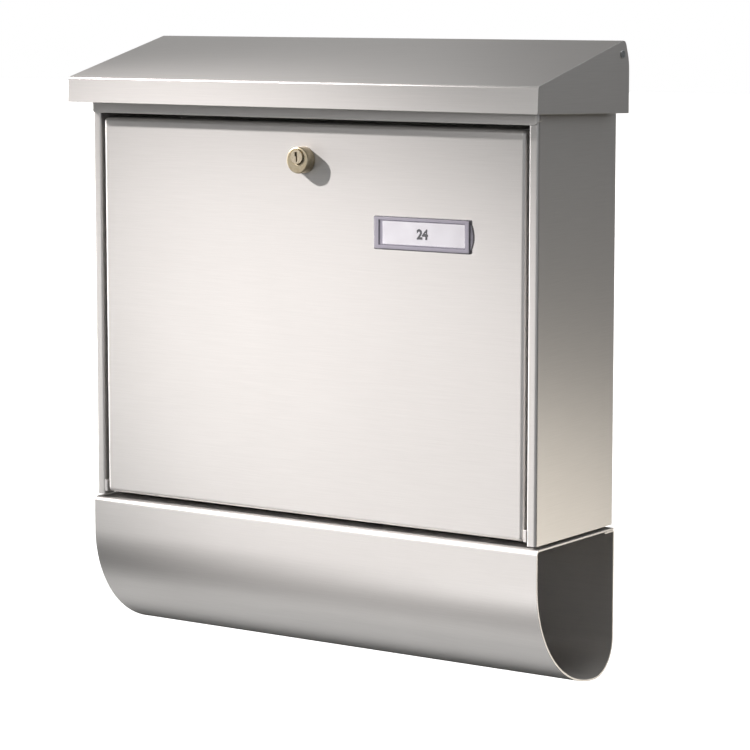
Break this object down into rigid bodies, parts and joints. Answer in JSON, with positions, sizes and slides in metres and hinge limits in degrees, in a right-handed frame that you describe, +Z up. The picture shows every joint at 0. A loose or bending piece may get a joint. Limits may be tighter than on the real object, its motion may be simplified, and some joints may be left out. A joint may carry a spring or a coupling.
{
  "type": "wall mounted mailbox",
  "caption": "Wall mounted mailbox of satin sheet steel with a sloped lift-up roof flap, a locking drop-down door and a rolled newspaper tray below.",
  "frame": {"origin": "on the wall, at the middle of the four wall holes in the back of the box", "axes": "+X to the right of someone facing the door, +Y into the wall, +Z up"},
  "size_m": [0.3784, 0.1142, 0.4184],
  "materials": {
    "stainless_sheet": "satin, finely brushed lengthways",
    "zinc_steel": "bright zinc plated",
    "satin_nickel": "satin nickel plate",
    "brass_core": "nickel plated, worn",
    "black_rubber": "matte",
    "white_nylon": "moulded",
    "grey_plastic": "moulded, slightly see-through grey",
    "clear_plastic": "clear and polished",
    "white_card": "uncoated white card"
  },
  "bodies": {
    "box": {"body_wrap": "stainless_sheet", "floor_pan": "stainless_sheet", "top_rail": "stainless_sheet", "catch_channel": "stainless_sheet", "letter_plate": "stainless_sheet", "lid_buffers": "black_rubber", "pivot_ear_left": "stainless_sheet", "pivot_ear_right": "stainless_sheet", "door_stops": "stainless_sheet", "newspaper_tray": "stainless_sheet", "tray_spacers": "white_nylon", "tray_screws": "zinc_steel", "tray_nuts": "zinc_steel"},
    "roof": {"roof_flap": "stainless_sheet", "flap_pins": "zinc_steel", "flap_bushes": "white_nylon"},
    "door": {"door_panel": "stainless_sheet", "door_pins": "zinc_steel", "lock_housing": "satin_nickel", "lock_nut": "zinc_steel", "nameplate_frame": "grey_plastic", "nameplate_window": "clear_plastic", "nameplate_card": "white_card"},
    "lock": {"lock_plug": "brass_core", "lock_cam": "zinc_steel", "cam_screw": "zinc_steel"}
  },
  "joints": [
    {"name": "door_hinge", "type": "hinge", "parent": "box", "child": "door", "pos_m": [0, -0.0924, -0.143], "axis": [1, 0, 0], "range_deg": [0, 105]},
    {"name": "roof_hinge", "type": "hinge", "parent": "box", "child": "roof", "pos_m": [0, -0.0091, 0.1597], "axis": [-1, 0, 0], "range_deg": [0, 80]},
    {"name": "lock_turn", "type": "hinge", "parent": "door", "child": "lock", "pos_m": [0, -0.09, 0.0923], "axis": [0, 1, 0], "range_deg": [0, 180]}
  ]
}
